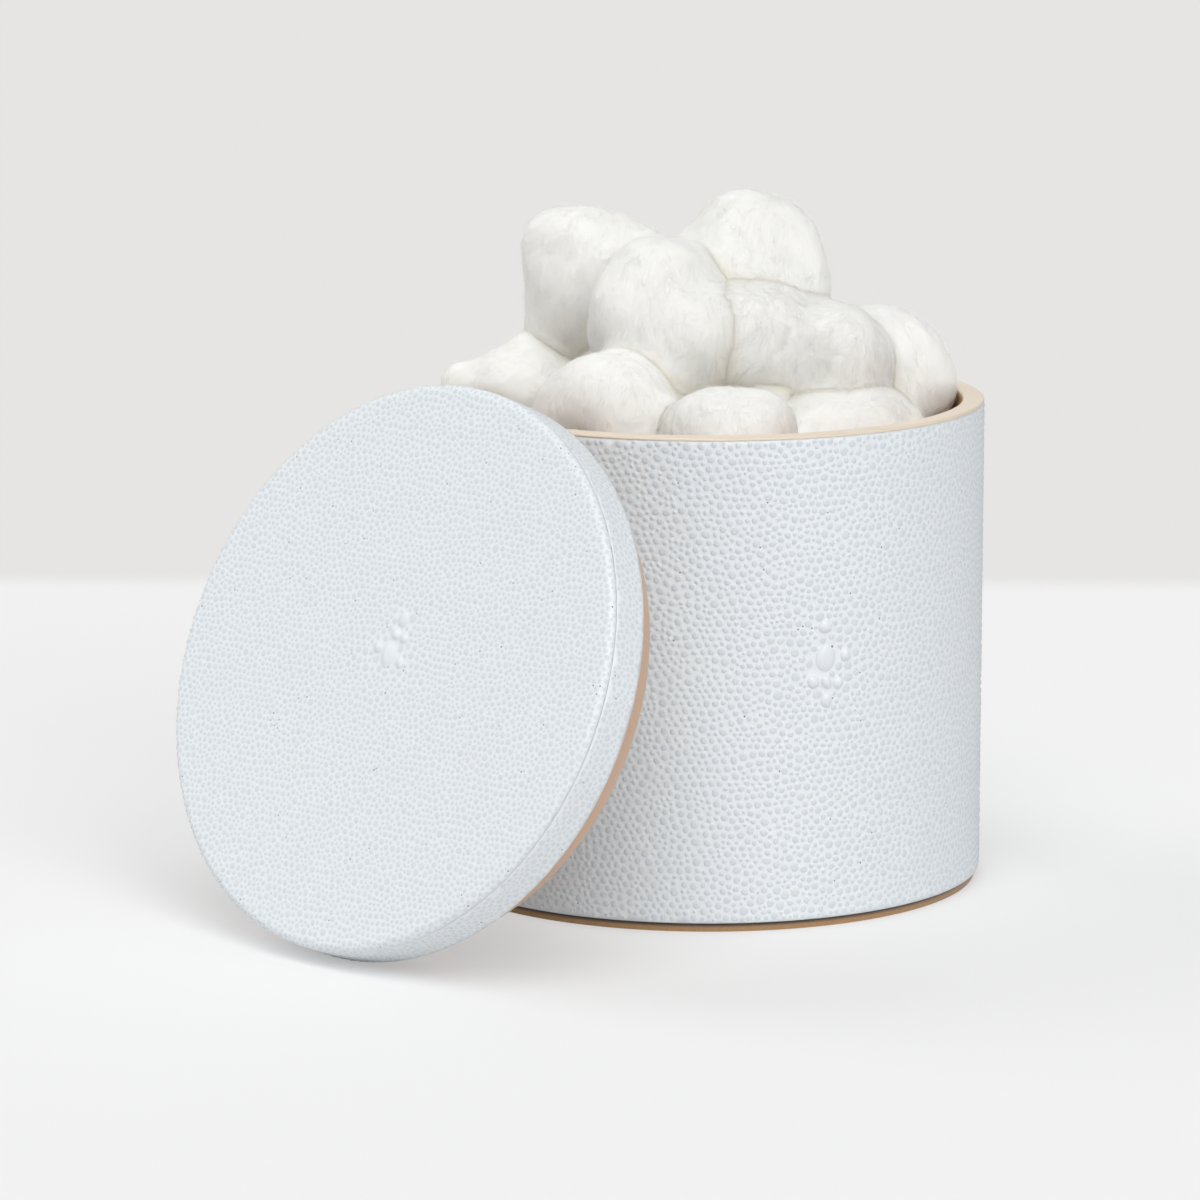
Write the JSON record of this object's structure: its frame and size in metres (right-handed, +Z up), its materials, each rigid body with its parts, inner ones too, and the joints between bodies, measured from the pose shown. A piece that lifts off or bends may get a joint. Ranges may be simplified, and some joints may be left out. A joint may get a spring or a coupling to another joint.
{
  "type": "cotton pad holder",
  "caption": "Round lidded holder for cotton in pale blue faux shagreen with tan edges, its lid taken off and leaning on it, heaped with cotton balls.",
  "frame": {"origin": "centre of the canister's foot pad, on the surface it stands on", "axes": "+Z up along the canister's axis; the lid leans on the side towards -X and -Y; -Y faces the viewer"},
  "size_m": [0.1642, 0.17, 0.1407],
  "materials": {
    "tan_paint": "satin tan lacquer on turned board",
    "shagreen": "embossed faux shagreen, pale blue-grey pebbles in an off-white network, satin",
    "suede": "brown suede pad, matt",
    "cotton": "loose white cotton wool, matt, fibrous"
  },
  "bodies": {
    "canister": {"canister_wall": "tan_paint", "canister_base": "tan_paint", "canister_wrap": "shagreen", "foot_pad": "suede"},
    "lid": {"lid_core": "tan_paint", "lid_locating_ring": "tan_paint", "lid_side_wrap": "shagreen", "lid_top_cover": "shagreen"},
    "cotton": {"cotton_ball_1": "cotton", "cotton_ball_2": "cotton", "cotton_ball_3": "cotton", "cotton_ball_4": "cotton", "cotton_ball_5": "cotton", "cotton_ball_6": "cotton", "cotton_ball_7": "cotton", "cotton_ball_8": "cotton", "cotton_ball_9": "cotton", "cotton_ball_10": "cotton", "cotton_ball_11": "cotton", "cotton_ball_12": "cotton", "cotton_ball_13": "cotton", "cotton_ball_14": "cotton", "cotton_lower_layers": "cotton"}
  },
  "joints": [
    {"name": "lid_lift", "type": "slide", "parent": "canister", "child": "lid", "axis": [-0.627, -0.6795, 0.3811], "range_m": [0, 0.12]},
    {"name": "cotton_lift", "type": "slide", "parent": "canister", "child": "cotton", "axis": [0, 0, 1], "range_m": [0, 0.16]}
  ]
}
